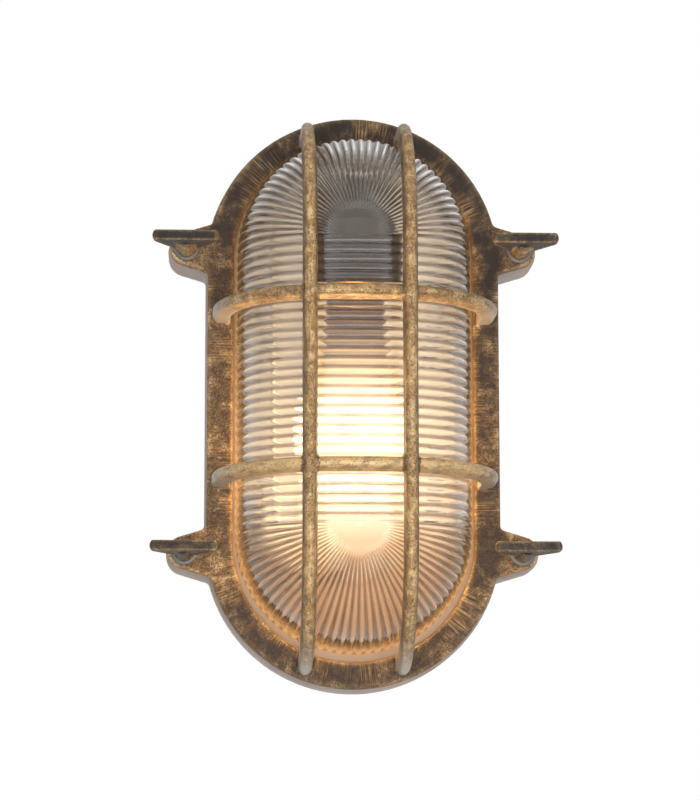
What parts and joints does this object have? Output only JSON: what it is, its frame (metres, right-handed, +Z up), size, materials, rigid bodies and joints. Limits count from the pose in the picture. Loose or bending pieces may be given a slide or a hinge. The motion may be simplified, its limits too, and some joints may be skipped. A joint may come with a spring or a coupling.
{
  "type": "bulkhead light",
  "caption": "Oval cast wall light: a ribbed glass dome behind a cage of bars, its guard clamped to the base by wing screws, with a screw-in lamp on a reflector tray inside.",
  "frame": {"origin": "centre of the base's flat back face, where it meets the wall", "axes": "+Y towards the wall, so the cage faces -Y; +Z up along the long oval; +X to the viewer's right"},
  "size_m": [0.1924, 0.102, 0.2782],
  "materials": {
    "base_paint": "satin grey-brown paint on cast aluminium",
    "guard_paint": "dark brown paint brushed over with gold",
    "clear_glass": "clear ribbed pressed glass",
    "seal": "pale matte rubber",
    "screw_paint": "near black paint with gold at the edges",
    "zinc": "zinc plated",
    "white_paint": "white enamel",
    "grommet_rubber": "matte black",
    "brass": "plain brass",
    "holder_plastic": "black phenolic moulding",
    "lamp_glass": "opal white, lit warm",
    "terminal_plastic": "ivory",
    "lead_sleeve": "white silicone sleeve"
  },
  "bodies": {
    "housing": {"base": "base_paint", "guard": "guard_paint", "glass": "clear_glass", "rear_gasket": "seal", "front_gasket": "seal", "reflector_tray": "white_paint", "tray_screws": "zinc", "cable_grommet": "grommet_rubber", "earth_screw": "brass", "earth_washer": "brass", "lampholder_bracket": "zinc", "bracket_screws": "zinc", "lampholder_body": "holder_plastic", "lampholder_screws": "zinc", "lampholder_shell": "brass", "centre_contact": "brass", "lamp": "lamp_glass", "terminal_block": "terminal_plastic", "terminal_barrels": "brass", "terminal_screws": "zinc", "block_screw": "zinc", "live_lead": "lead_sleeve", "neutral_lead": "lead_sleeve"},
    "washer_upper_left": {"washer_upper_left": "zinc"},
    "screw_upper_left": {"wing_screw_upper_left": "screw_paint"},
    "washer_upper_right": {"washer_upper_right": "zinc"},
    "screw_upper_right": {"wing_screw_upper_right": "screw_paint"},
    "washer_lower_left": {"washer_lower_left": "zinc"},
    "screw_lower_left": {"wing_screw_lower_left": "screw_paint"},
    "washer_lower_right": {"washer_lower_right": "zinc"},
    "screw_lower_right": {"wing_screw_lower_right": "screw_paint"}
  },
  "joints": [
    {"name": "upper_left_lift", "type": "slide", "parent": "housing", "child": "washer_upper_left", "axis": [0, -1, 0], "range_m": [0, 0.0113]},
    {"name": "upper_left_turn", "type": "hinge", "parent": "washer_upper_left", "child": "screw_upper_left", "pos_m": [-0.0804, -0.028, 0.0734], "axis": [0, -1, 0], "range_deg": [0, 4050]},
    {"name": "upper_right_lift", "type": "slide", "parent": "housing", "child": "washer_upper_right", "axis": [0, -1, 0], "range_m": [0, 0.0113]},
    {"name": "upper_right_turn", "type": "hinge", "parent": "washer_upper_right", "child": "screw_upper_right", "pos_m": [0.0804, -0.028, 0.0734], "axis": [0, -1, 0], "range_deg": [0, 4050]},
    {"name": "lower_left_lift", "type": "slide", "parent": "housing", "child": "washer_lower_left", "axis": [0, -1, 0], "range_m": [0, 0.0113]},
    {"name": "lower_left_turn", "type": "hinge", "parent": "washer_lower_left", "child": "screw_lower_left", "pos_m": [-0.0804, -0.028, -0.0734], "axis": [0, -1, 0], "range_deg": [0, 4050]},
    {"name": "lower_right_lift", "type": "slide", "parent": "housing", "child": "washer_lower_right", "axis": [0, -1, 0], "range_m": [0, 0.0113]},
    {"name": "lower_right_turn", "type": "hinge", "parent": "washer_lower_right", "child": "screw_lower_right", "pos_m": [0.0804, -0.028, -0.0734], "axis": [0, -1, 0], "range_deg": [0, 4050]}
  ],
  "couplings": [
    {"joint": "upper_left_lift", "follows": "upper_left_turn", "m_per_rad": 0.00015915},
    {"joint": "upper_right_lift", "follows": "upper_right_turn", "m_per_rad": 0.00015915},
    {"joint": "lower_left_lift", "follows": "lower_left_turn", "m_per_rad": 0.00015915},
    {"joint": "lower_right_lift", "follows": "lower_right_turn", "m_per_rad": 0.00015915}
  ]
}
